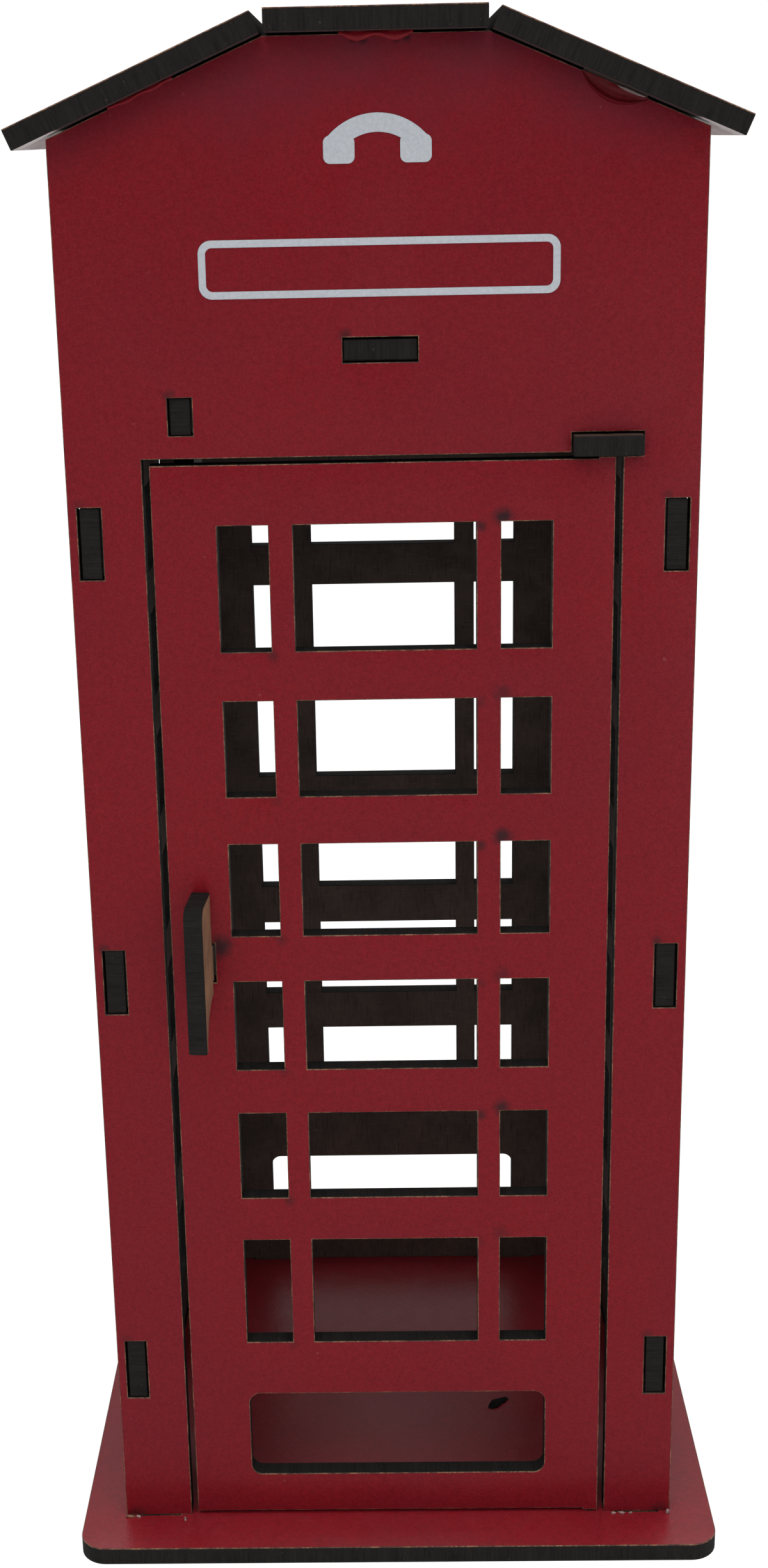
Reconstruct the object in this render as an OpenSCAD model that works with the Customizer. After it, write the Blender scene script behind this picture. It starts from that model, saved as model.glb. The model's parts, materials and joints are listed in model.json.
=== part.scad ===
// Miniature telephone booth cut from thin board: four walls on a base plate,
// a three-plank roof, and a hinged door with a plate handle.
// Front faces -Y. Origin: centre of the underside of the base plate.

/* [Board] */
// Thickness of the board every plate is cut from
sheet = 2.5; // [2:0.1:4]
// Thickness of the printed film on the outer faces
film = 0.15; // [0.1:0.05:0.3]
// Thickness of the white stick-on marks
mark_t = 0.1; // [0.1:0.05:0.3]
// Free space on each side of a tab across the board's thickness
slot_play = 0.3; // [0.1:0.05:0.5]
// Free space at each end of a tab along its length
end_play = 0.15; // [0.1:0.05:0.5]
// How far a tab's end stays short of the outer face
tab_short = 0.3; // [0:0.1:1]

/* [Booth] */
// Width of the front and back panels
booth_w = 79.4; // [60:0.1:110]
// Depth over the outer faces of the front and back panels
booth_d = 75.2; // [60:0.1:110]
// Height of the eave corner above the floor
eave_h = 193.3; // [140:0.1:260]
// Rise from the eave corner to the flat of the gable
roof_rise = 11.2; // [5:0.1:30]
// Length of the flat at the top of the gable
flat_w = 26.9; // [15:0.1:50]
// Step from the edge of the front panel to the side panel's outer face
side_step = 1.3; // [0.5:0.1:4]

/* [Base] */
// Base plate beyond the panels on the left and right
base_out_x = 6.05; // [3:0.05:20]
// Base plate beyond the panels at the front and back
base_out_y = 7.7; // [3:0.1:20]
// Corner radius of the base plate
base_corner = 3.8; // [1:0.1:10]

/* [Roof] */
// Overhang of the planks beyond the front and back panels
roof_out_y = 3.5; // [3:0.1:10]
// Overhang of a sloping plank beyond the eave corner, along the slope
roof_out_x = 3.8; // [2:0.1:10]
// Gap between the gable edge and the planks
roof_gap = 0.3; // [0.1:0.05:0.5]
// Centre of the slope tab, measured from the eave corner along the slope
roof_tab_at = 12.5; // [8:0.1:20]
// Length of the tabs that carry the planks
roof_tab = 8.4; // [5:0.1:12]

/* [Doorway] */
// Width of the panel strip on each side of the doorway
jamb_w = 9.6; // [8:0.1:16]
// Height from the top of the doorway to the eave corner
header_h = 38.5; // [25:0.1:60]
// Gap between the door and the sides of the doorway
door_gap = 0.95; // [0.7:0.05:1.5]
// Gap between the door and the top of the doorway
top_gap = 0.85; // [0.7:0.05:1.5]
// Gap between the door and the floor
floor_gap = 0.6; // [0.5:0.05:1.5]

/* [Windows] */
// Plain strip of the door on each side of the windows
stile_w = 7.95; // [6.5:0.05:14]
// Plain strip of the door above the windows
top_rail = 7.7; // [5:0.1:20]
// Width of the two outer window columns
narrow_w = 6.5; // [3:0.1:12]
// Width of the upright bars between the columns
upright_bar = 3.1; // [1.5:0.1:6]
// Height of the level bars between the rows
level_bar = 6.55; // [3:0.05:10]
// Number of rows between the tall first row and the last row
mid_rows = 4; // [2:1:6]
// Height of a tall row over the height of a middle row
tall_ratio = 1.26; // [1:0.01:2]
// Floor to the lowest window row
grid_foot = 28.7; // [22:0.1:50]
// Shift of the door windows toward the hinge
grid_shift = 0.2; // [0:0.05:0.5]
// Floor to the underside of the low opening
kick_foot = 6.8; // [4:0.1:15]
// Height of the low opening
kick_h = 13.5; // [6:0.1:16]
// Corner radius of the low opening
kick_corner = 1.6; // [0.5:0.1:4]

/* [Hinge] */
// Radius of the door's two round pegs
peg_r = 1.05; // [0.8:0.05:1.2]
// Running clearance between a peg and its hole
peg_play = 0.07; // [0.02:0.01:0.1]
// Clearance above and below the shoulders of the door
shoulder_play = 0.3; // [0.3:0.05:0.6]
// Height from the door's top to the hinge plate
hinge_lift = 0.52; // [0.4:0.02:1]
// Width of the hinge plate's front end
hinge_w = 8.7; // [6:0.1:12]
// How far the hinge plate stands out in front
hinge_out = 1.8; // [1:0.1:4]
// How far the hinge plate runs back inside the booth
hinge_back = 14; // [8:0.5:25]

/* [Handle] */
// Height of the handle plate
handle_h = 20.4; // [12:0.1:40]
// How far the handle stands out from the door
handle_out = 7; // [5:0.1:15]
// Floor to the underside of the handle
handle_foot = 76.8; // [50:0.1:110]
// Radius of the handle's upper front corner
handle_round = 1.8; // [0.5:0.1:4]
// Radius of the finger cut-out at the handle's lower end
finger_r = 6.1; // [2:0.1:6.5]
// Door edge to the centre of the handle
handle_in = 4.3; // [3:0.1:6]
// Height of the handle's tab
handle_tab = 5.4; // [3:0.1:8]
// Sideways lean of the handle in its slot, in degrees
handle_lean = 4.5; // [0:0.5:5]

/* [Stop] */
// Centre of the door stop from the middle of the booth
stop_x = 25; // [15:0.1:28]
// How far the stop hangs below the top of the doorway
stop_drop = 6; // [3:0.5:15]
// How far the stop runs back inside the booth
stop_back = 12; // [8:0.5:20]
// Height of the stop's front tab
stop_tab = 4.4; // [3:0.1:8]

/* [Ceiling] */
// Height of the ceiling's middle above the top of the doorway
ceiling_up = 13; // [10:0.1:22]
// Length of the ceiling tabs
ceiling_tab = 9; // [5:0.1:15]

/* [Wall tabs] */
// Height of the side panel tabs
wall_tab = 9; // [5:0.1:15]
// Floor to the centre of the lowest side tab
wall_tab_foot = 24.4; // [15:0.1:40]
// Pitch of the side tabs
wall_tab_pitch = 59.9; // [40:0.1:80]

/* [Marks] */
// Width of the handset mark
mark_w = 13; // [8:0.5:20]
// Height of the handset mark's middle above the eave corner
mark_up = -0.3; // [-5:0.1:5]
// Width of the blank label frame
label_w = 44; // [20:0.5:60]
// Height of the blank label frame
label_h = 7; // [4:0.1:12]
// Line width of the blank label frame
label_line = 0.9; // [0.5:0.1:2]
// Drop of the label's middle below the eave corner
label_down = 15.6; // [12:0.1:25]

/* [Hidden] */
$fn = 48;
red = [0.42, 0.06, 0.09];
brown = [0.36, 0.24, 0.16];
white = [0.85, 0.86, 0.87];
floor_z = sheet + film;
y_front = -booth_d / 2;
y_board = y_front + film;
y_inner = y_board + sheet;
x_side = booth_w / 2 - side_step;
x_board = x_side - film;
x_inner = x_board - sheet;
inner_d = -2 * y_inner;
eave_z = floor_z + eave_h;
ridge_z = eave_z + roof_rise;
run = (booth_w - flat_w) / 2;
slope = atan(roof_rise / run);
slope_len = run / cos(slope);
doorway_w = booth_w - 2 * jamb_w;
doorway_h = eave_h - header_h;
doorway_z = floor_z + doorway_h;
door_w = doorway_w - 2 * door_gap;
door_z0 = floor_z + floor_gap;
door_z1 = doorway_z - top_gap;
grid_w = door_w - 2 * stile_w;
wide_w = grid_w - 2 * narrow_w - 2 * upright_bar;
grid_z0 = floor_z + grid_foot;
grid_h = door_z1 - top_rail - grid_z0;
row_h = (grid_h - (mid_rows + 1) * level_bar) / (mid_rows + 2 * tall_ratio);
tall_h = row_h * tall_ratio;
slot_t = sheet + 2 * slot_play;
slot_mid_y = y_board + sheet / 2;
pivot_x = door_w / 2 - peg_r;
pivot_y = y_front + (sheet + film) / 2;
hinge_z = door_z1 + hinge_lift;
ceiling_z = doorway_z + ceiling_up;
handle_x = -door_w / 2 + handle_in;
handle_z = floor_z + handle_foot;
handle_tab_z = handle_z + handle_h / 2;
stop_tab_up = 5.2;
stop_tab_z = doorway_z + stop_tab_up;
side_top = eave_z + (booth_w / 2 - x_side) * tan(slope);
foot_tab = 6;
back_foot_tab = 10;
root = 1;
tab_layout_h = 154.8;
ridge_play = 0.1;
label_corner = 1.6;
top_plank_play = 0.3;
reach = sheet + film - tab_short;

// Node to build

// Stand a flat outline up across the booth, its back edge at y0 + t
module upright(y0, t) {
  translate([0, y0 + t, 0])
    rotate([90, 0, 0])
      linear_extrude(t)
        children();
}

// Stand a flat outline up along the booth, from x0 to x0 + t
module lengthwise(x0, t) {
  translate([x0, 0, 0])
    rotate([90, 0, 90])
      linear_extrude(t)
        children();
}

// Flat rectangle centred across, standing on v0
module plate2d(u, v0, w, h) {
  translate([u - w / 2, v0])
    square([w, h]);
}

// Flat rectangle with round corners, centred
module rounded2d(w, h, r) {
  square([w - 2 * r, h], center = true);
  square([w, h - 2 * r], center = true);
  for (sx = [-1, 1])
    for (sy = [-1, 1])
      translate([sx * (w / 2 - r), sy * (h / 2 - r)])
        circle(r = r);
}

// Window openings of one wall: tall row, middle rows, and a last row top_h high
module windows2d(top_h) {
  last = mid_rows + 1;
  for (i = [0 : last]) {
    h = i == 0 ? tall_h : i == last ? top_h : row_h;
    lift = i == 0 ? 0 : tall_h - row_h;
    v = grid_z0 + i * (row_h + level_bar) + lift;
    plate2d(0, v, wide_w, h);
    for (s = [-1, 1])
      plate2d(s * (grid_w - narrow_w) / 2, v, narrow_w, h);
  }
  translate([0, floor_z + kick_foot + kick_h / 2])
    rounded2d(grid_w, kick_h, kick_corner);
}

// Outline of a gable wall
module gable2d() {
  polygon([
    [-booth_w / 2, floor_z],
    [booth_w / 2, floor_z],
    [booth_w / 2, eave_z],
    [flat_w / 2, ridge_z],
    [-flat_w / 2, ridge_z],
    [-booth_w / 2, eave_z]
  ]);
}

// Tabs that reach up through the roof planks
module roof_tabs2d() {
  tall = roof_gap + reach;
  plate2d(0, ridge_z - root, roof_tab, tall + root);
  for (s = [-1, 1])
    translate([s * booth_w / 2, eave_z])
      rotate(-s * slope)
        plate2d(-s * roof_tab_at, -root, roof_tab, tall + root);
}

// Slots in a gable wall for the side panels and the ceiling
module wall_slots2d() {
  for (i = [0 : 2])
    for (s = [-1, 1])
      translate([s * (x_inner + sheet / 2), wall_tab_z(i)])
        square([slot_t, wall_tab + 2 * end_play], center = true);
  translate([0, ceiling_z])
    square([ceiling_tab + 2 * end_play, slot_t], center = true);
}

function wall_tab_z(i) =
  floor_z + (wall_tab_foot + i * wall_tab_pitch) * doorway_h / tab_layout_h;

// Openings of the front wall
module front_cuts2d() {
  wall_slots2d();
  plate2d(0, 0, doorway_w, doorway_z);
  translate([pivot_x, hinge_z + sheet / 2])
    square([hinge_w + 2 * end_play, slot_t], center = true);
  translate([-stop_x, stop_tab_z])
    square([slot_t, stop_tab + 2 * end_play], center = true);
}

// Tabs at the foot of the front wall
module front_feet2d() {
  for (s = [-1, 1])
    plate2d(s * (booth_w - jamb_w) / 2, floor_z - reach, foot_tab, reach + root);
}

// Tabs at the foot of the back wall
module back_feet2d() {
  for (s = [-1, 1])
    plate2d(s * booth_w / 4, floor_z - reach, back_foot_tab, reach + root);
}

// Outline of the base plate
module base2d() {
  difference() {
    rounded2d(booth_w + 2 * base_out_x, booth_d + 2 * base_out_y, base_corner);
    for (s = [-1, 1]) {
      translate([s * (booth_w - jamb_w) / 2, slot_mid_y])
        square([foot_tab + 2 * end_play, slot_t], center = true);
      translate([s * booth_w / 4, -slot_mid_y])
        square([back_foot_tab + 2 * end_play, slot_t], center = true);
      for (t = [-1, 1])
        translate([s * (x_inner + sheet / 2), t * inner_d / 4])
          square([slot_t, back_foot_tab + 2 * end_play], center = true);
    }
    translate([pivot_x, pivot_y])
      circle(r = peg_r + peg_play);
  }
}

// Outline of a side wall, without tabs
module side2d() {
  difference() {
    plate2d(0, floor_z, inner_d, side_top - floor_z);
    windows2d(row_h);
    translate([0, ceiling_z])
      square([ceiling_tab + 2 * end_play, slot_t], center = true);
  }
}

// Tabs of a side wall
module side_tabs2d() {
  for (i = [0 : 2])
    for (s = [-1, 1])
      translate([s * (inner_d + reach - root) / 2, wall_tab_z(i)])
        square([reach + root, wall_tab], center = true);
  for (s = [-1, 1])
    plate2d(s * inner_d / 4, floor_z - reach, back_foot_tab, reach + root);
}

// Slot in the right wall for the hinge plate
module hinge_slot2d() {
  translate([y_inner + hinge_back / 2, hinge_z + sheet / 2])
    square([hinge_back / 2 + 2 * end_play, slot_t], center = true);
}

// Outline of the door leaf
module door2d() {
  difference() {
    union() {
      plate2d(0, door_z0, door_w, door_z1 - door_z0);
      shoulders2d();
    }
    translate([grid_shift, 0])
      windows2d(tall_h);
    translate([handle_x, handle_tab_z])
      square([slot_t, handle_tab + 2 * end_play], center = true);
  }
}

// Short shoulders of the door at its two pegs
module shoulders2d() {
  plate2d(pivot_x, door_z1 - root, 2 * peg_r, hinge_lift - shoulder_play + root);
  plate2d(pivot_x, floor_z + shoulder_play, 2 * peg_r, floor_gap);
}

// Cut-outs of a roof plank, in the plank's own plane
module plank_slots2d(u) {
  for (s = [-1, 1])
    translate([u, s * slot_mid_y])
      square([roof_tab + 2 * end_play, slot_t], center = true);
}

// A sloping plank lying flat, its eave end toward +X
module slope_plank2d() {
  len = slope_len + roof_out_x - ridge_play;
  difference() {
    translate([roof_out_x - len, y_front - roof_out_y])
      square([len, booth_d + 2 * roof_out_y]);
    plank_slots2d(-roof_tab_at);
  }
}

// Place a flat plank on the right slope, n above the gable edge
module on_slope(n) {
  translate([booth_w / 2, 0, eave_z])
    rotate([0, slope, 0])
      translate([0, 0, n])
        children();
}

// The middle plank lying flat
module top_plank2d() {
  difference() {
    square([flat_w - 2 * top_plank_play, booth_d + 2 * roof_out_y], center = true);
    plank_slots2d(0);
  }
}

module base_plate() {
  color(brown)
    linear_extrude(sheet)
      base2d();
}

module base_film() {
  color(red)
    translate([0, 0, sheet])
      linear_extrude(film)
        base2d();
}

module front_panel() {
  color(brown)
    upright(y_board, sheet)
      difference() {
        union() {
          gable2d();
          roof_tabs2d();
          front_feet2d();
        }
        front_cuts2d();
      }
}

module front_film() {
  color(red)
    upright(y_front, film)
      difference() {
        gable2d();
        front_cuts2d();
      }
}

module back_panel() {
  color(brown)
    upright(-y_inner, sheet)
      difference() {
        union() {
          gable2d();
          roof_tabs2d();
          back_feet2d();
        }
        wall_slots2d();
        windows2d(row_h);
      }
}

module back_film() {
  color(red)
    upright(-y_board, film)
      difference() {
        gable2d();
        wall_slots2d();
        windows2d(row_h);
      }
}

module left_side_panel() {
  color(brown)
    lengthwise(-x_board, sheet) {
      side2d();
      side_tabs2d();
    }
}

module left_side_film() {
  color(red)
    lengthwise(-x_side, film)
      side2d();
}

module right_side_panel() {
  color(brown)
    lengthwise(x_inner, sheet)
      difference() {
        union() {
          side2d();
          side_tabs2d();
        }
        hinge_slot2d();
      }
}

module right_side_film() {
  color(red)
    lengthwise(x_board, film)
      difference() {
        side2d();
        hinge_slot2d();
      }
}

module ceiling_plate() {
  side_play = 0.3;
  color(brown)
    translate([0, 0, ceiling_z - sheet / 2])
      linear_extrude(sheet)
        difference() {
          union() {
            square([2 * (x_inner - side_play), inner_d], center = true);
            square([ceiling_tab, inner_d + 2 * reach], center = true);
            square([2 * (x_inner + reach), ceiling_tab], center = true);
          }
          translate([-stop_x, y_inner + stop_back / 2])
            square([slot_t, stop_back / 2 + 2 * end_play], center = true);
        }
}

module hinge_plate() {
  x0 = pivot_x - hinge_w / 2;
  wider = 3;
  color(brown)
    translate([0, 0, hinge_z])
      linear_extrude(sheet)
        difference() {
          union() {
            translate([x0, y_front - hinge_out])
              square([hinge_w, hinge_out + film + sheet + root]);
            translate([x0 - wider, y_inner])
              square([x_inner - x0 + wider, hinge_back]);
            translate([x_inner - root, y_inner + hinge_back / 4])
              square([reach + root, hinge_back / 2]);
          }
          translate([pivot_x, pivot_y])
            circle(r = peg_r + peg_play);
        }
}

module door_stop() {
  low = doorway_z - stop_drop;
  top = ceiling_z - sheet / 2;
  relief = 0.4;
  step = doorway_z + relief;
  color(brown)
    lengthwise(-stop_x - sheet / 2, sheet) {
      translate([y_inner, step])
        square([stop_back, top - step]);
      translate([y_inner + relief, low])
        square([stop_back - relief, step - low]);
      translate([y_inner - reach, stop_tab_z - stop_tab / 2])
        square([reach + root, stop_tab]);
      translate([y_inner + stop_back / 4, top - root])
        square([stop_back / 2, reach + root]);
    }
}

module roof_right_plank() {
  color(brown)
    on_slope(roof_gap)
      linear_extrude(sheet)
        slope_plank2d();
}

module roof_right_film() {
  color(red)
    on_slope(roof_gap + sheet)
      linear_extrude(film)
        slope_plank2d();
}

module roof_left_plank() {
  color(brown)
    mirror([1, 0, 0])
      roof_right_plank();
}

module roof_left_film() {
  color(red)
    mirror([1, 0, 0])
      roof_right_film();
}

module roof_top_plank() {
  color(brown)
    translate([0, 0, ridge_z + roof_gap])
      linear_extrude(sheet)
        top_plank2d();
}

module roof_top_film() {
  color(red)
    translate([0, 0, ridge_z + roof_gap + sheet])
      linear_extrude(film)
        top_plank2d();
}

// A plain handset: an arched grip with a round-cornered cup at each end
module handset_mark() {
  cup_w = mark_w * 0.29;
  cup_h = mark_w * 0.25;
  cup_drop = mark_w * 0.12;
  grip_r = mark_w * 0.62;
  grip_t = mark_w * 0.17;
  grip_top = mark_w / 5;
  grip_h = grip_top + cup_drop;
  color(white)
    translate([0, 0, eave_z + mark_up])
      upright(y_front - mark_t, mark_t) {
        intersection() {
          translate([0, grip_top - grip_r])
            difference() {
              circle(r = grip_r);
              circle(r = grip_r - grip_t);
            }
          plate2d(0, -cup_drop, mark_w, grip_h);
        }
        for (s = [-1, 1])
          translate([s * (mark_w - cup_w) / 2, -cup_drop])
            rounded2d(cup_w, cup_h, cup_h / 4);
      }
}

// A blank label: a plain round-cornered frame
module label_mark() {
  color(white)
    translate([0, 0, eave_z - label_down])
      upright(y_front - mark_t, mark_t)
        difference() {
          rounded2d(label_w, label_h, label_corner);
          rounded2d(
            label_w - 2 * label_line,
            label_h - 2 * label_line,
            label_corner / 2
          );
        }
}

module door_panel() {
  color(brown) {
    upright(y_board, sheet)
      door2d();
    translate([pivot_x, pivot_y, door_z1 - root])
      cylinder(r = peg_r, h = hinge_z + sheet - tab_short - door_z1 + root);
    translate([pivot_x, pivot_y, tab_short])
      cylinder(r = peg_r, h = door_z0 + root - tab_short);
  }
}

module door_film() {
  color(red)
    upright(y_front, film)
      door2d();
}

// Side outline of the handle's grip: round upper front corner, and a finger
// cut-out from the door side of its lower end. The door lies at y = back.
module grip2d(back) {
  drop = 0.3;
  difference() {
    union() {
      translate([back - handle_out, handle_z])
        square([handle_out, handle_h - handle_round]);
      translate([back - handle_out + handle_round, handle_z])
        square([handle_out - handle_round, handle_h]);
      translate([back - handle_out + handle_round, handle_z + handle_h - handle_round])
        circle(r = handle_round);
    }
    translate([back, handle_z - drop])
      circle(r = finger_r);
  }
}

module door_handle() {
  lift_off = 0.15;
  back = y_front - lift_off;
  color(brown)
    translate([handle_x, pivot_y, 0])
      rotate([0, 0, -handle_lean])
        translate([0, -pivot_y, 0])
          lengthwise(-sheet / 2, sheet) {
            grip2d(back);
            translate([back - root, handle_tab_z - handle_tab / 2])
              square([film + sheet + root, handle_tab]);
          }
}

base_plate();
base_film();
front_panel();
front_film();
back_panel();
back_film();
left_side_panel();
left_side_film();
right_side_panel();
right_side_film();
ceiling_plate();
hinge_plate();
door_stop();
roof_left_plank();
roof_left_film();
roof_top_plank();
roof_top_film();
roof_right_plank();
roof_right_film();
handset_mark();
label_mark();
door_panel();
door_film();
door_handle();
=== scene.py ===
# Miniature telephone booth of laser-cut board: every plate and printed film is
# rebuilt from its CAD node with cut edges, rims and wear, then lit and framed.
import json
import math

import bmesh
import bpy
from mathutils import Euler, Matrix, Vector, noise
from mathutils.geometry import delaunay_2d_cdt


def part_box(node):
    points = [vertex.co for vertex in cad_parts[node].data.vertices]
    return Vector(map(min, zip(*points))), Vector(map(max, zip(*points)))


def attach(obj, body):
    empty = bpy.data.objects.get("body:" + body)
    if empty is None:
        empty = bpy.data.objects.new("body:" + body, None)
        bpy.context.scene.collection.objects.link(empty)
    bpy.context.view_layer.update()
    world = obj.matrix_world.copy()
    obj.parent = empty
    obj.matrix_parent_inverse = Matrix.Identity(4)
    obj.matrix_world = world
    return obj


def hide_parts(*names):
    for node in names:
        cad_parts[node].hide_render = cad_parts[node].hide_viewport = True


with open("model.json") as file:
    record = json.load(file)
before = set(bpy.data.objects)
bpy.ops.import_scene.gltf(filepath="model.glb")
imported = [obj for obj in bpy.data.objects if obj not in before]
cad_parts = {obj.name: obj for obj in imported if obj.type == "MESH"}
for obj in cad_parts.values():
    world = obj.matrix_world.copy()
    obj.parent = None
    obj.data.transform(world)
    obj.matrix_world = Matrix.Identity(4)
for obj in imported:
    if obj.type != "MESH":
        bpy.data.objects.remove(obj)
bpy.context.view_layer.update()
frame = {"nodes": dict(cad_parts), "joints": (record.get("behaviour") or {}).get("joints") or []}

MM = 0.001
MERGE_GAP = 1e-7  # outline points nearer than this count as one


# ---------------------------------------------------------------- materials

class Shader:
    """A material's node tree, built by short calls."""

    def __init__(self, name):
        self.material = bpy.data.materials.new(name)
        self.material.use_nodes = True
        self.tree = self.material.node_tree
        self.surface = self.tree.nodes["Principled BSDF"]

    def node(self, kind, inputs=(), **settings):
        made = self.tree.nodes.new("ShaderNode" + kind)
        for key, value in settings.items():
            setattr(made, key, value)
        for key, value in dict(inputs).items():
            self.put(made.inputs[key], value)
        return made

    def put(self, socket, value):
        if isinstance(value, bpy.types.NodeSocket):
            self.tree.links.new(value, socket)
        else:
            socket.default_value = value

    def place(self, stretch=(1, 1, 1), turn=(0, 0, 0)):
        """Place on the object, in metres, stretched along each axis."""
        source = self.node("TexCoord").outputs["Object"]
        mapped = self.node("Mapping", {"Vector": source, "Scale": stretch, "Rotation": turn})
        return mapped.outputs["Vector"]

    def along_cut(self, stretch):
        """Place along a cut edge: length of the cut, and depth below the face."""
        source = self.node("UVMap", uv_map="cut").outputs["UV"]
        return self.node("Mapping", {"Vector": source, "Scale": stretch}).outputs["Vector"]

    def grain(self, where, size_mm, detail=2.0, roughness=0.5):
        """Noise from 0 to 1 with features of about size_mm."""
        made = self.node("TexNoise", {
            "Vector": where, "Scale": 1 / (size_mm * MM), "Detail": detail, "Roughness": roughness,
        })
        return made.outputs["Fac"]

    def span(self, value, low, high, to_low=0.0, to_high=1.0):
        made = self.node("MapRange", {
            "Value": value, "From Min": low, "From Max": high, "To Min": to_low, "To Max": to_high,
        })
        made.clamp = True
        return made.outputs["Result"]

    def calc(self, operation, a, b=0.0):
        made = self.node("Math", operation=operation)
        self.put(made.inputs[0], a)
        self.put(made.inputs[1], b)
        return made.outputs[0]

    def mix(self, share, a, b):
        made = self.node("Mix", data_type="RGBA")
        self.put(made.inputs[0], share)
        self.put(made.inputs[6], a if isinstance(a, bpy.types.NodeSocket) else (*a, 1))
        self.put(made.inputs[7], b if isinstance(b, bpy.types.NodeSocket) else (*b, 1))
        return made.outputs[2]

    def relief(self, *layers):
        """Bump layers, each (height from 0 to 1, depth in mm)."""
        normal = None
        for height, depth_mm in layers:
            made = self.node("Bump", {"Height": height, "Distance": depth_mm * MM, "Strength": 1.0})
            if normal is not None:
                self.put(made.inputs["Normal"], normal)
            normal = made.outputs["Normal"]
        return normal

    def finish(self, colour, roughness, normal, **constants):
        self.put(self.surface.inputs["Base Color"], colour)
        self.put(self.surface.inputs["Roughness"], roughness)
        self.put(self.surface.inputs["Normal"], normal)
        for key, value in constants.items():
            self.surface.inputs[key.replace("_", " ").title().replace("Ior", "IOR")].default_value = value
        return self.material


def spot(s, where, centre, reach_mm, ragged):
    """1 in the middle of a round spot, 0 past its reach, with a ragged rim."""
    away = s.node("VectorMath", operation="DISTANCE")
    s.put(away.inputs[0], where)
    away.inputs[1].default_value = centre
    distance = s.calc("ADD", away.outputs["Value"], s.calc("MULTIPLY", ragged, reach_mm * MM * 0.9))
    return s.span(distance, reach_mm * MM * 0.35, reach_mm * MM * 1.35, 1.0, 0.0)


def red_film(name, deep=1.0, gloss=0.115, soot_and_shade=(), painted_shade_band=None):
    """Satin printed film: deep red, fine pebble, faint purple clouds, soot spots and painted
    shade spots, and painted shade, as under the roof, that thickens upward between the two given heights."""
    s = Shader(name)
    where = s.place()
    clouds = s.grain(where, 24, 3.0)
    pebble = s.grain(where, 0.75, 3.0, 0.65)
    fine = s.grain(where, 0.28, 2.0, 0.6)
    warm = tuple(c * deep for c in (0.164, 0.0042, 0.0076))
    purple = tuple(c * deep for c in (0.146, 0.0050, 0.0104))
    colour = s.mix(s.span(clouds, 0.35, 0.65), warm, purple)
    dark = tuple(c * deep for c in (0.095, 0.0036, 0.0070))
    colour = s.mix(s.span(pebble, 0.32, 0.68, 0.0, 0.60), colour, dark)
    light = tuple(c * deep for c in (0.235, 0.017, 0.026))
    colour = s.mix(s.span(fine, 0.35, 0.75, 0.0, 0.34), colour, light)
    # Painted shade: the sheet darkens towards its top, standing in for the shade under the roof's eaves.
    if painted_shade_band:
        shade_cloud = s.grain(where, 14, 3.0, 0.55)
        low, high = painted_shade_band
        height = s.node("SeparateXYZ", {0: where}).outputs["Z"]
        shade_share = s.calc("MULTIPLY", s.span(height, low, high), s.span(shade_cloud, 0.38, 0.66, 0.15, 0.75))
        colour = s.mix(shade_share, colour, (0.092, 0.0130, 0.0240))
    fleck = s.span(s.grain(where, 1.3, 1.0, 0.2), 0.80, 0.84, 0.0, 0.35)
    colour = s.mix(fleck, colour, (0.24, 0.07, 0.075))
    # Soot spots where cuts began, and painted shade spots where the list holds them, darken the film.
    if soot_and_shade:
        ragged = s.calc("SUBTRACT", s.grain(where, 1.0, 3.0), 0.5)
        dark = None
        for centre, reach_mm, strength in soot_and_shade:
            one = s.calc("MULTIPLY", spot(s, where, centre, reach_mm, ragged), strength)
            dark = one if dark is None else s.calc("MAXIMUM", dark, one)
        colour = s.mix(dark, colour, (0.020, 0.007, 0.009))
    roughness = s.span(s.grain(where, 3.0, 3.0), 0.3, 0.7, 0.28, 0.36)
    normal = s.relief((s.grain(where, 9.0, 2.0), 0.06), (pebble, 0.034), (fine, 0.012))
    return s.finish(colour, roughness, normal, specular_ior_level=gloss)


def burnt_rim(name):
    """Edge of the film where the laser browned it: a broken tan line."""
    s = Shader(name)
    where = s.place()
    patches = s.grain(where, 2.4, 3.0, 0.6)
    fleck = s.grain(where, 0.35, 2.0)
    colour = s.mix(s.span(patches, 0.38, 0.60), (0.060, 0.022, 0.015), (0.215, 0.112, 0.062))
    colour = s.mix(s.span(fleck, 0.45, 0.62, 0.0, 0.75), colour, (0.028, 0.014, 0.011))
    normal = s.relief((fleck, 0.03))
    return s.finish(colour, s.span(patches, 0.3, 0.7, 0.55, 0.75), normal, specular_ior_level=0.25)


def charred_cut():
    """Laser-cut edge of the board: soot black with fine lines across the thickness."""
    s = Shader("charred_cut_edge")
    lines = s.grain(s.along_cut((1, 0.05, 1)), 0.20, 3.0, 0.65)
    bands = s.grain(s.along_cut((1, 0.12, 1)), 1.6, 2.0)
    where = s.place()
    dust = s.grain(where, 0.5, 3.0, 0.6)
    colour = s.mix(s.span(lines, 0.32, 0.70), (0.0034, 0.0031, 0.0030), (0.0125, 0.0112, 0.0104))
    colour = s.mix(s.span(bands, 0.40, 0.72, 0.0, 0.40), colour, (0.0185, 0.0155, 0.0135))
    colour = s.mix(s.span(dust, 0.66, 0.74, 0.0, 0.50), colour, (0.060, 0.045, 0.034))
    normal = s.relief((lines, 0.045), (dust, 0.015))
    return s.finish(colour, s.span(dust, 0.3, 0.7, 0.66, 0.85), normal, specular_ior_level=0.12)


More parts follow.
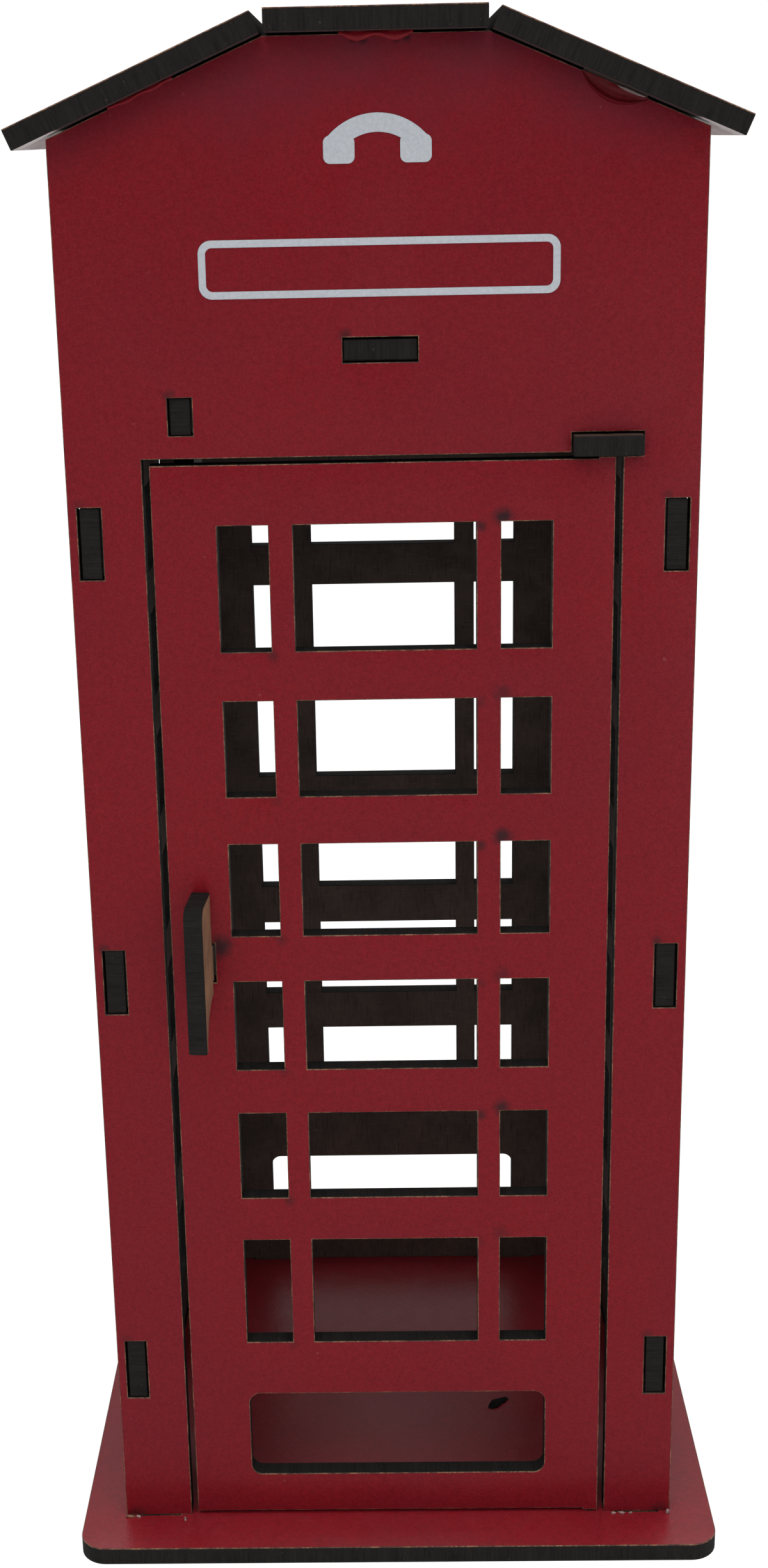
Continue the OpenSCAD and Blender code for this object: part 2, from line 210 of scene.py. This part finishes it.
def fibre_board(name, light, dark, level, shaded_within=0.0):
    """Pressed fibre board: mottled brown with short fibres lying every way. Near its
    middle plane, out to the given distance, it is painted dark as shade."""
    s = Shader(name)
    where = s.place()
    cloud = s.grain(where, 6.0, 4.0, 0.6)
    fibres = s.grain(s.place((1.0, 1.0, 0.12), (0.35, 0.5, 0.2)), 0.30, 3.0, 0.6)
    crossing = s.grain(s.place((0.14, 0.9, 1.0), (0.0, -0.6, 0.4)), 0.26, 2.0)
    colour = s.mix(s.span(cloud, 0.32, 0.68), light, dark)
    colour = s.mix(s.span(fibres, 0.50, 0.72, 0.0, 0.65), colour, tuple(c * 0.35 for c in dark))
    colour = s.mix(s.span(crossing, 0.58, 0.74, 0.0, 0.5), colour, tuple(c * 1.45 for c in light))
    # Painted shade: within the given distance of the middle plane the board is darkened.
    if shaded_within:
        split = s.node("SeparateXYZ", {0: where})
        away = s.calc("ABSOLUTE", split.outputs["X"])
        shade_mask = s.span(away, shaded_within - 0.4 * MM, shaded_within + 0.4 * MM, 0.96, 0.0)
        colour = s.mix(shade_mask, colour, (0.020, 0.010, 0.009))
    normal = s.relief((fibres, 0.04), (crossing, 0.03))
    return s.finish(colour, s.span(cloud, 0.3, 0.7, 0.50, 0.68), normal, specular_ior_level=level)


def white_mark():
    """Printed white: faintly blue, with the film's pebble showing through."""
    s = Shader("white_print")
    where = s.place()
    pebble = s.grain(where, 0.35, 3.0, 0.6)
    colour = s.mix(s.span(pebble, 0.3, 0.7), (0.36, 0.38, 0.41), (0.43, 0.45, 0.48))
    colour = s.mix(s.span(s.grain(where, 1.6, 2.0), 0.66, 0.78, 0.0, 0.4), colour, (0.34, 0.26, 0.28))
    roughness = s.span(pebble, 0.3, 0.7, 0.45, 0.6)
    return s.finish(colour, roughness, s.relief((pebble, 0.012)), specular_ior_level=0.2)


# ------------------------------------------------------------ plates, films

def face_outline(node, toward):
    """The broad face of a flat CAD node that looks toward a direction: its
    normal, the node's thickness, and its outline loops with material on the left."""
    mesh = frame["nodes"][node].data
    toward = Vector(toward).normalized()
    groups = {}
    for face in mesh.polygons:
        if face.normal.dot(toward) > 0.7:
            key = tuple(round(c, 2) for c in face.normal)
            groups.setdefault(key, []).append(face)
    faces = max(groups.values(), key=lambda g: sum(f.area for f in g))
    normal = sum((f.normal * f.area for f in faces), Vector()).normalized()
    heights = [v.co.dot(normal) for v in mesh.vertices]
    top, thickness = max(heights), max(heights) - min(heights)
    edges = set()
    for face in faces:
        if top - face.center.dot(normal) < 0.01 * MM:
            corners = [tuple(round(c, 7) for c in mesh.vertices[i].co) for i in face.vertices]
            edges.update(zip(corners, corners[1:] + corners[:1]))
    edges = sorted(e for e in edges if (e[1], e[0]) not in edges)
    after = dict(edges)
    loops = []
    while after:
        start, here = after.popitem()
        loop = [Vector(start)]
        while here != start:
            loop.append(Vector(here))
            here = after.pop(here)
        loops.append(loop)
    return normal, thickness, loops


def straightened(loop):
    """The loop without the points that lie along a straight stretch."""
    kept = []
    count = len(loop)
    for i, p in enumerate(loop):
        before = (p - loop[i - 1]).normalized()
        beyond = (loop[(i + 1) % count] - p).normalized()
        if before.dot(beyond) < 0.99999:
            kept.append(p)
    return kept


def stepped(loop, step):
    """The loop with its long stretches cut into steps."""
    points = []
    for i, p in enumerate(loop):
        q = loop[(i + 1) % len(loop)]
        parts = max(1, round((q - p).length / step))
        points += [p.lerp(q, k / parts) for k in range(parts)]
    return points


def miters(loop):
    """For each 2-D point, the move that insets both its sides by one unit."""
    moves = []
    for i, p in enumerate(loop):
        a = (p - loop[i - 1]).normalized()
        b = (loop[(i + 1) % len(loop)] - p).normalized()
        left_a, left_b = Vector((-a.y, a.x)), Vector((-b.y, b.x))
        moves.append((left_a + left_b) / max(0.35, 1 + left_a.dot(left_b)))
    return moves


def area_of(points, turn):
    """Signed area of a closed run of flat points, positive when anticlockwise."""
    pairs = zip(turn, turn[1:] + turn[:1])
    return sum(points[i].x * points[j].y - points[j].x * points[i].y for i, j in pairs) / 2


def filled(points, turns):
    """Triangles that fill the largest turn of points and leave the others as
    holes. Every point of a turn is a corner of some triangle, so that the walls
    that meet the outline close on it."""
    ways = [turn if area_of(points, turn) > 0 else turn[::-1] for turn in turns]
    outer = max(range(len(ways)), key=lambda k: area_of(points, ways[k]))
    _, _, triangles, source, _, inside = delaunay_2d_cdt(points, [], ways, 1, MERGE_GAP)
    return [tuple(source[i][0] for i in triangle)
            for triangle, owners in zip(triangles, inside) if list(owners) == [outer]]


def plate(name, node, toward, rings, finishes, ragged=0.0, step=1.6 * MM):
    """A closed plate with the outline of a flat CAD node. rings are (inset, drop)
    pairs from the front face to the back one, and finishes holds the material
    of the front face, of each band between rings, and of the back face."""
    normal, thickness, loops = face_outline(node, toward)
    up = Vector((0, 0, 1)) if abs(normal.z) < 0.7 else Vector((0, 1, 0))
    u = up.cross(normal).normalized()
    v = normal.cross(u)
    top = loops[0][0].dot(normal)
    flat_loops = []
    for loop in loops:
        flat = [Vector((p.dot(u), p.dot(v))) for p in stepped(straightened(loop), step)]
        flat_loops.append(flat)
    rings = [(inset, thickness if drop is None else (drop if drop >= 0 else thickness + drop))
             for inset, drop in rings]
    points, faces, kinds, marks = [], [], [], []
    starts = []
    for k, (inset, drop) in enumerate(rings):
        starts.append(len(points))
        for flat in flat_loops:
            for p, move in zip(flat, miters(flat)):
                wobble = ragged * noise.noise(Vector((p.x, p.y, 3.7)) / (0.9 * MM)) if k == 0 else 0.0
                q = p + move * (inset + wobble)
                points.append(u * q.x + v * q.y + normal * (top - drop))
    band_at = []
    turns = []
    at = 0
    for flat in flat_loops:
        run = 0.0
        count = len(flat)
        turns.append(list(range(at, at + count)))
        for i in range(count):
            j = (i + 1) % count
            length = (flat[j] - flat[i]).length
            band_at.append((at + i, at + j, run, run + length))
            run += length
        at += count
    flat_all = [p for flat in flat_loops for p in flat]
    last = starts[-1]
    for triangle in filled(flat_all, turns):
        faces.append(triangle)
        kinds.append(0)
        marks.append([(flat_all[i].x, flat_all[i].y) for i in triangle])
        faces.append(tuple(last + i for i in reversed(triangle)))
        kinds.append(len(rings))
        marks.append([(flat_all[i].x, flat_all[i].y) for i in reversed(triangle)])
    for k in range(len(rings) - 1):
        high, low = starts[k], starts[k + 1]
        for i, j, run_i, run_j in band_at:
            faces.append((high + i, low + i, low + j, high + j))
            kinds.append(k + 1)
            d0, d1 = rings[k][1], rings[k + 1][1]
            marks.append([(run_i, d0), (run_i, d1), (run_j, d1), (run_j, d0)])
    return mesh_piece(name, points, faces, kinds, marks, finishes, (0, len(rings)))


def mesh_piece(name, points, faces, kinds, marks, finishes, flat_kinds=(), sharp=28):
    """A mesh object with one material per kind of face and its cut coordinates."""
    mesh = bpy.data.meshes.new(name)
    mesh.from_pydata(points, [], faces)
    order = []
    for material in finishes:
        if material not in order:
            order.append(material)
            mesh.materials.append(material)
    cut = mesh.uv_layers.new(name="cut")
    for face, kind, mark in zip(mesh.polygons, kinds, marks):
        face.material_index = order.index(finishes[kind])
        face.use_smooth = kind not in flat_kinds
        for corner, place in zip(face.loop_indices, mark):
            cut.data[corner].uv = place
    mesh.set_sharp_from_angle(angle=math.radians(sharp))
    mesh.validate()
    made = bpy.data.objects.new(name, mesh)
    bpy.context.scene.collection.objects.link(made)
    return made


def settle(piece, body, slot, *nodes):
    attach(piece, body)
    if nodes:
        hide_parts(*nodes)
    return piece


def blanket(name, across, up, shape, thickness, material):
    """A thin closed skin. shape(a, b) gives its outer surface for a and b from 0
    to 1, and the skin lies thickness behind it, along toward."""
    front, back = [], []
    for j in range(up + 1):
        for i in range(across + 1):
            point, toward = shape(i / across, j / up)
            front.append(point)
            back.append(point + toward * thickness)
    count = len(front)
    row = across + 1
    faces = []
    for j in range(up):
        for i in range(across):
            a = j * row + i
            faces.append((a, a + 1, a + row + 1, a + row))
            faces.append((count + a, count + a + row, count + a + row + 1, count + a + 1))
    rim_run = list(range(row)) + [j * row + across for j in range(1, up + 1)]
    rim_run += [up * row + i for i in range(across - 1, -1, -1)] + [j * row for j in range(up - 1, 0, -1)]
    for a, b in zip(rim_run, rim_run[1:] + rim_run[:1]):
        faces.append((a, count + a, count + b, b))
    middle = (up // 2) * row + across // 2
    lean = (front[middle + 1] - front[middle]).cross(front[middle + row] - front[middle])
    if lean.dot(back[middle] - front[middle]) > 0:
        faces = [face[::-1] for face in faces]
    points = front + back
    marks = [[(points[i].x, points[i].z) for i in face] for face in faces]
    return mesh_piece(name, points, faces, [0] * len(faces), marks, [material], sharp=70)


def lathe(name, profile, axis_x, axis_y, material, turns=40):
    """A closed turned piece round a vertical axis, from (radius, height) pairs."""
    points = [Vector((axis_x, axis_y, profile[0][1]))]
    for radius, height in profile:
        for k in range(turns):
            angle = math.tau * k / turns
            x = axis_x + radius * math.cos(angle)
            y = axis_y + radius * math.sin(angle)
            points.append(Vector((x, y, height)))
    points.append(Vector((axis_x, axis_y, profile[-1][1])))
    faces = []
    for k in range(turns):
        after = (k + 1) % turns
        faces.append((0, 1 + after, 1 + k))
        for level in range(len(profile) - 1):
            low, high = 1 + level * turns, 1 + (level + 1) * turns
            faces.append((low + k, low + after, high + after, high + k))
        last = 1 + (len(profile) - 1) * turns
        faces.append((last + k, last + after, len(points) - 1))
    marks = [[(points[i].x * 3, points[i].z) for i in face] for face in faces]
    return mesh_piece(name, points, faces, [0] * len(faces), marks, [material])


def crumb(name, place, size, turn, seed, material, body="booth", slot="board"):
    """A small ragged scrap: a pulled and pitted ball, size in mm."""
    shell = bmesh.new()
    bmesh.ops.create_icosphere(shell, subdivisions=3, radius=0.5)
    for vert in shell.verts:
        push = 1 + 0.55 * noise.noise(vert.co * 2.6 + Vector((seed, 0, 0))) \
            + 0.25 * noise.noise(vert.co * 7 + Vector((0, seed, 0)))
        vert.co *= push
    mesh = bpy.data.meshes.new(name)
    shell.to_mesh(mesh)
    shell.free()
    stretch = Matrix.Diagonal((size[0] * MM, size[1] * MM, size[2] * MM, 1))
    turned = Euler([math.radians(t) for t in turn]).to_matrix().to_4x4()
    mesh.transform(Matrix.Translation(place) @ turned @ stretch)
    mesh.materials.append(material)
    mesh.uv_layers.new(name="cut")
    for face in mesh.polygons:
        face.use_smooth = True
    made = bpy.data.objects.new(name, mesh)
    bpy.context.scene.collection.objects.link(made)
    return settle(made, body, slot)


def holes_of(node, toward):
    """Boxes (x0, z0, x1, z1) of the openings of an upright film, from low to high."""
    boxes = []
    for loop in face_outline(node, toward)[2]:
        xs, zs = [p.x for p in loop], [p.z for p in loop]
        boxes.append((min(xs), min(zs), max(xs), max(zs)))
    outer = max(boxes, key=lambda b: (b[2] - b[0]) * (b[3] - b[1]))
    return sorted((b for b in boxes if b != outer), key=lambda b: (round(b[1], 4), b[0]))


# -------------------------------------------------------- soot at the cuts, painted shade

front_low, front_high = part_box("front_film")
face_y = front_low.y
door_low, door_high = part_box("door_film")
plain = Vector((0, -1, 0))

door_holes = holes_of("door_film", plain)
narrow_right = [b for b in door_holes if b[0] > 10 * MM and b[2] - b[0] < 8 * MM and b[3] - b[1] > 8 * MM]
wide = [b for b in door_holes if 20 * MM < b[2] - b[0] < 30 * MM and b[3] - b[1] > 8 * MM]
narrow_left = [b for b in door_holes if b[2] < -10 * MM and 5.5 * MM < b[2] - b[0] < 8 * MM]
handle_slot = min((b for b in door_holes if b[2] - b[0] < 5.5 * MM), key=lambda b: b[0])

# Soot at a window is strong where a cut began and faint elsewhere, row by row.
start_soot = [0.35, 0.85, 0.45, 0.9, 0.5, 0.95]
door_soot = []
for strength, hole in zip(start_soot, narrow_right):
    door_soot.append(((hole[0] + 0.2 * MM, face_y, hole[3] + 0.6 * MM), 1.2, strength))
for strength, hole in zip(start_soot, wide):
    door_soot.append(((hole[2] + 0.5 * MM, face_y, hole[3] - 0.6 * MM), 0.75, strength * 0.75))
for strength, hole in zip(start_soot, narrow_left):
    door_soot.append(((hole[2] + 0.1 * MM, face_y, hole[1] - 0.5 * MM), 0.8, strength * 0.55))
door_soot.append(((handle_slot[2] + 0.7 * MM, face_y, handle_slot[3] - 0.5 * MM), 1.6, 0.9))

front_soot_and_shade = []
for k, hole in enumerate(holes_of("front_film", plain)):
    corner = (hole[0] + 0.3 * MM, face_y, hole[3] + 0.3 * MM)
    front_soot_and_shade.append((corner, 0.8, 0.30 + 0.12 * (k % 4)))
# Painted shade: dark spots under the curls of the top hem, where it stands off the film.
for x, below in ((-2.6, 0.5), (-1.5, 0.7), (2.5, 0.6), (3.6, 0.5)):
    front_soot_and_shade.append(((x * MM, face_y, front_high.z - below * MM), 0.55, 0.85))
# Dark spots at the panel's two foot corners.
for x in (front_low.x + 1.5 * MM, front_high.x - 1.5 * MM):
    front_soot_and_shade.append(((x, face_y, front_low.z), 1.3, 0.6))


# ----------------------------------------------------------------- finishes

cut = charred_cut()
rim = burnt_rim("burnt_film_edge")
inner_board = fibre_board("board_face", (0.070, 0.043, 0.034), (0.043, 0.028, 0.022), 0.25)
wall_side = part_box("left_side_panel")[0].x
# Pale plank underside, painted dark as shade where it lies between the side walls.
under_board = fibre_board("plank_underside", (0.61, 0.56, 0.55), (0.50, 0.45, 0.44), 0.3, -wall_side)
torn = fibre_board("torn_backing", (0.30, 0.25, 0.24), (0.15, 0.10, 0.10), 0.3)
raw_board = fibre_board("raw_handle_face", (0.270, 0.145, 0.082), (0.175, 0.090, 0.054), 0.2)
wall_red = red_film("red_film")
# A lighter copy of the red film for the flat base: painted light on the upturned base.
lit_base_red = red_film("red_film_base_painted_light", deep=1.2, gloss=0.75)
# The front film's painted shade under the roof begins 17 mm below its top.
shade_from = front_high.z - 17 * MM
front_red = red_film("red_film_front", soot_and_shade=front_soot_and_shade, painted_shade_band=(shade_from, front_high.z))
door_red = red_film("red_film_door", soot_and_shade=door_soot)
# A darker copy of the red film: painted shade inside the dent below the right roof tab.
shaded_fold_red = red_film("red_film_folded_painted_shade", deep=0.58)
white = white_mark()

BOARD_EDGE = 0.07 * MM
board_rings = [(BOARD_EDGE, 0.0), (0.0, BOARD_EDGE), (0.0, -BOARD_EDGE), (BOARD_EDGE, None)]
film_rings = [(0.10 * MM, 0.0), (0.04 * MM, 0.012 * MM), (0.0, 0.06 * MM), (0.0, None)]

boards = {
    "base_plate": (0, 0, 1), "front_panel": (0, -1, 0), "back_panel": (0, 1, 0),
    "left_side_panel": (-1, 0, 0), "right_side_panel": (1, 0, 0),
    "ceiling_plate": (0, 0, 1), "hinge_plate": (0, 0, 1), "door_stop": (1, 0, 0),
    "door_panel": (0, -1, 0), "roof_left_plank": (-0.4, 0, 0.92),
    "roof_top_plank": (0, 0, 1), "roof_right_plank": (0.4, 0, 0.92),
}
films = {
    "base_film": (0, 0, 1), "front_film": (0, -1, 0), "back_film": (0, 1, 0),
    "left_side_film": (-1, 0, 0), "right_side_film": (1, 0, 0), "door_film": (0, -1, 0),
    "roof_left_film": (-0.4, 0, 0.92), "roof_top_film": (0, 0, 1), "roof_right_film": (0.4, 0, 0.92),
}
reds = {"front_film": front_red, "door_film": door_red, "base_film": lit_base_red}

for node, out in boards.items():
    under = under_board if node.startswith("roof") else inner_board
    piece = plate(node + "_cut", node, out, board_rings, [inner_board, cut, cut, cut, under])
    settle(piece, "door" if node.startswith("door_panel") else "booth", "board", node)

for node, out in films.items():
    finishes = [reds.get(node, wall_red), rim, rim, rim, inner_board]
    piece = plate(node + "_sheet", node, out, film_rings, finishes, ragged=0.05 * MM)
    settle(piece, "door" if node.startswith("door") else "booth", "red_film", node)

handle_rings = [(0.16 * MM, 0.0), (0.05 * MM, 0.05 * MM), (0.0, 0.16 * MM), (0.0, -0.16 * MM),
                (0.05 * MM, -0.05 * MM), (0.16 * MM, None)]
handle = plate("handle_plate", "door_handle", (1, 0, 0), handle_rings,
               [raw_board, cut, cut, cut, cut, cut, raw_board])
settle(handle, "door", "board", "door_handle")

mark_rings = [(0.03 * MM, 0.0), (0.0, 0.03 * MM), (0.0, None)]
for node in ("handset_mark", "label_mark"):
    piece = plate(node + "_print", node, (0, -1, 0), mark_rings, [white] * 4, step=4 * MM)
    settle(piece, "booth", "white_mark", node)

# ---------------------------------------------------------- pegs of the door

hinge_x, hinge_y = frame["joints"][0]["pos_m"][:2]
peg_r = door_high.x - hinge_x
panel_low, panel_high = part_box("door_panel")
PEG_ROUND = 0.2 * MM
pegs = {
    "door_peg_top": (door_high.z - 1.0 * MM, panel_high.z),
    "door_peg_foot": (door_low.z + 1.0 * MM, panel_low.z),
}
for name, (root, tip) in pegs.items():
    way = 1 if tip > root else -1
    profile = [(peg_r * 0.97, root), (peg_r * 0.97, tip - way * PEG_ROUND), (peg_r * 0.97 - PEG_ROUND, tip)]
    if way < 0:
        profile.reverse()
    settle(lathe(name, profile, hinge_x, hinge_y, cut), "door", "board")

# ------------------------------------- film folded and dented at the roof tabs

ridge_z = front_high.z
half_flat = (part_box("roof_top_film")[1].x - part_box("roof_top_film")[0].x) / 2 + 0.3 * MM
loops = face_outline("front_film", plain)[2]
edge_x = front_high.x
eave_z = max(p.z for loop in loops for p in loop if abs(p.x - edge_x) < 0.01 * MM)
slope_way = Vector((-(edge_x - half_flat), 0, ridge_z - eave_z)).normalized()


FOLD_LIFT = 0.02 * MM  # every fold starts just off the flat film
BLUNT = 0.03  # the least share of a fold's bow, so that its ends do not pinch to a point


def slope_frame(side):
    """Corner of the eave, way up the slope, and way out of the gable's edge."""
    along = Vector((slope_way.x * side, 0, slope_way.z))
    out = Vector((slope_way.z * side, 0, -slope_way.x))
    return Vector((edge_x * side, face_y, eave_z)), along, out


def dent(side, at, length, depth, lift):
    """A crescent of film pushed off the board below a roof tab, its lip raised."""
    corner, along, out = slope_frame(side)

    def shape(a, b):
        bow = max(BLUNT, math.sin(math.pi * a)) ** 0.7
        down = (1 - b) * depth * bow
        lip = math.exp(-((b - 0.14) / 0.11) ** 2) * lift * bow
        hollow = 0.25 * lift * bow * b
        ripple = 0.12 * lift * noise.noise(Vector((a * 5, b * 4, side)))
        s = at + (a - 0.5) * length
        stand_off = FOLD_LIFT + lip + hollow + ripple * bow
        point = corner + along * s - out * (down - 0.05 * MM) + plain * stand_off
        return point, -plain
    return shape


def hem(start, along, out, length, drop, lift, waves):
    """A narrow hem of film folded over the root of a tab, its lower line wavy."""

    def shape(a, b):
        ends = min(1.0, 12 * a, 12 * (1 - a))
        wave = 0.5 + 0.5 * math.cos(math.tau * waves * (a - 0.5))
        low = -drop * (0.35 + 0.65 * (1 - wave)) * ends
        high = 0.30 * MM
        v = low + (high - low) * b
        puff = lift * math.sin(math.pi * (0.15 + 0.8 * b)) * ends * (0.75 + 0.25 * wave)
        return start + along * (a * length) + out * v + plain * (FOLD_LIFT + puff), -plain
    return shape


dent_right = dent(1, 12.4 * MM, 8.6 * MM, 2.1 * MM, 0.48 * MM)
settle(blanket("film_dent_right", 36, 14, dent_right, 0.1 * MM, shaded_fold_red), "booth", "red_film")

left_corner, left_along, left_out = slope_frame(-1)
left_start = left_corner + left_along * 8.3 * MM
left_hem = hem(left_start, left_along, left_out, 8.6 * MM, 0.34 * MM, 0.34 * MM, 2.5)
settle(blanket("film_hem_left", 40, 8, left_hem, 0.1 * MM, wall_red), "booth", "red_film")

top_start = Vector((-4.4 * MM, face_y, ridge_z))
top_hem = hem(top_start, Vector((1, 0, 0)), Vector((0, 0, 1)), 8.8 * MM, 0.85 * MM, 0.45 * MM, 2.0)
settle(blanket("film_hem_top", 40, 8, top_hem, 0.1 * MM, wall_red), "booth", "red_film")


def sliver(a, b):
    """A torn strip of the film's backing, lying over the dent."""
    corner, along, out = slope_frame(1)
    width = 0.30 * MM * max(BLUNT, math.sin(math.pi * min(1, a * 1.05))) ** 0.6
    point = corner + along * ((8.6 + 3.9 * a) * MM) + out * (width * (b - 0.75)) + plain * 0.36 * MM
    return point + plain * 0.06 * MM * noise.noise(Vector((a * 6, b * 2, 1))), -plain


settle(blanket("torn_backing_right", 20, 4, sliver, 0.08 * MM, torn), "booth", "board")

# ------------------------------------------------- scraps at the panels' feet

base_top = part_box("base_film")[1].z
glue = fibre_board("dried_glue", (0.30, 0.21, 0.19), (0.16, 0.08, 0.08), 0.6)
scraps = [
    (-39.0, -38.1, (1.4, 0.42, 0.36), 8), (-37.9, -38.1, (0.7, 0.34, 0.30), -12),
    (-31.0, -38.7, (0.34, 0.9, 0.2), 10), (31.5, -38.1, (0.7, 0.36, 0.30), 6),
    (32.7, -38.1, (0.9, 0.4, 0.32), -8), (34.0, -38.1, (0.5, 0.32, 0.26), 15),
    (39.4, -38.1, (0.6, 0.45, 0.6), 20),
]
for k, (x, y, size, turn) in enumerate(scraps):
    spot_at = Vector((x * MM, y * MM, base_top + size[2] * 0.35 * MM))
    crumb("glue_scrap_%d" % (k + 1), spot_at, size, (0, 0, turn), k * 3.1, glue if k != 0 else rim)
splinter_at = Vector((16.1 * MM, -10.5 * MM, base_top + 0.25 * MM))
crumb("floor_splinter", splinter_at, (3.7, 1.45, 0.7), (0, 0, 42), 9.0, cut)

# ------------------------------------------------------------- stage, light

ABOVE_GLOW = 2.6
BEHIND_GLOW = 0.22
ROOM_GLOW = 0.10
BACKDROP_GLOW = 1.02
FLOOR_GLOW = 1.22
FLOOR_GLOW_SHARE = 0.72
FLOOR_HALF = 6.0


def seen_directly(nodes):
    """1 for what the lens sees directly, 0 for light that bounces."""
    return nodes.new("ShaderNodeLightPath").outputs["Is Camera Ray"]


def stage_floor():
    """Pale floor. Seen directly it is as bright as the backdrop, bar a soft shadow."""
    s = Shader("pale_floor")
    cloud = s.grain(s.place(), 40, 3.0)
    colour = s.mix(s.span(cloud, 0.3, 0.7), (0.82, 0.82, 0.82), (0.79, 0.79, 0.795))
    material = s.finish(colour, 0.8, s.relief((cloud, 0.01)), specular_ior_level=0.1)
    glow = s.node("Emission", {"Color": (1, 1, 1, 1), "Strength": FLOOR_GLOW})
    both = s.node("MixShader", {"Fac": s.calc("MULTIPLY", seen_directly(s.tree.nodes), FLOOR_GLOW_SHARE)})
    s.put(both.inputs[1], s.surface.outputs[0])
    s.put(both.inputs[2], glow.outputs[0])
    s.put(s.tree.nodes["Material Output"].inputs["Surface"], both.outputs[0])
    half = FLOOR_HALF
    corners = [(-half, -half, 0), (half, -half, 0), (half, half, 0), (-half, half, 0)]
    mesh = bpy.data.meshes.new("floor")
    mesh.from_pydata(corners, [], [(0, 1, 2, 3)])
    mesh.materials.append(material)
    made = bpy.data.objects.new("floor", mesh)
    bpy.context.scene.collection.objects.link(made)


def soft_room():
    """White backdrop. Its light comes mostly from above, some from behind the
    booth, and little from the dark room in front."""
    world = bpy.data.worlds.new("soft_room")
    world.use_nodes = True
    nodes, links = world.node_tree.nodes, world.node_tree.links
    way = nodes.new("ShaderNodeTexCoord").outputs["Generated"]

    def calc(operation, a, b):
        made = nodes.new("ShaderNodeMath")
        made.operation = operation
        for socket, value in zip(made.inputs, (a, b)):
            if isinstance(value, bpy.types.NodeSocket):
                links.new(value, socket)
            else:
                socket.default_value = value
        return made.outputs["Value"]

    def glow_from(direction, power, strength):
        toward = nodes.new("ShaderNodeVectorMath")
        toward.operation = "DOT_PRODUCT"
        links.new(way, toward.inputs[0])
        toward.inputs[1].default_value = Vector(direction).normalized()
        facing = calc("MAXIMUM", toward.outputs["Value"], 0.0)
        return calc("MULTIPLY", calc("POWER", facing, power), strength)

    above = glow_from((0.05, -0.25, 0.97), 3.0, ABOVE_GLOW)
    behind = glow_from((0.25, 1.0, 0.35), 1.5, BEHIND_GLOW)
    level = calc("ADD", calc("ADD", above, behind), ROOM_GLOW)
    choose = nodes.new("ShaderNodeMix")
    links.new(seen_directly(nodes), choose.inputs[0])
    links.new(level, choose.inputs[2])
    choose.inputs[3].default_value = BACKDROP_GLOW
    links.new(choose.outputs[0], nodes["Background"].inputs["Strength"])
    nodes["Background"].inputs["Color"].default_value = (1, 1, 1, 1)
    bpy.context.scene.world = world


def lamp(name, power, place, aim, width, height):
    data = bpy.data.lights.new(name, "AREA")
    data.energy = power
    data.shape = "RECTANGLE"
    data.size = width
    data.size_y = height
    made = bpy.data.objects.new(name, data)
    made.location = place
    made.rotation_euler = (Vector(aim) - Vector(place)).to_track_quat("-Z", "Y").to_euler()
    bpy.context.scene.collection.objects.link(made)


stage_floor()
soft_room()
scene = bpy.context.scene
scene.view_settings.view_transform = "Standard"
lamp("key", 5, (-0.45, -1.25, 1.30), (0, 0, 0.10), 1.3, 1.0)
lamp("fill", 1.6, (1.1, -0.9, 0.9), (0, 0, 0.12), 0.9, 0.9)
lamp("low_fill", 0.14, (0.30, -0.42, 0.06), (0.01, -0.04, 0.01), 0.30, 0.10)

camera_data = bpy.data.cameras.new("camera")
camera_data.lens = 47.73
camera_data.sensor_width = 36
camera_data.shift_x = 0.02675
camera_data.shift_y = -0.00765
camera_data.clip_start = 0.01
camera = bpy.data.objects.new("camera", camera_data)
camera.location = (-0.000307, -0.297002, 0.195840)
camera.rotation_euler = Euler([math.radians(a) for a in (72.946, 1.1625, 0.8565)])
scene.collection.objects.link(camera)
scene.camera = camera
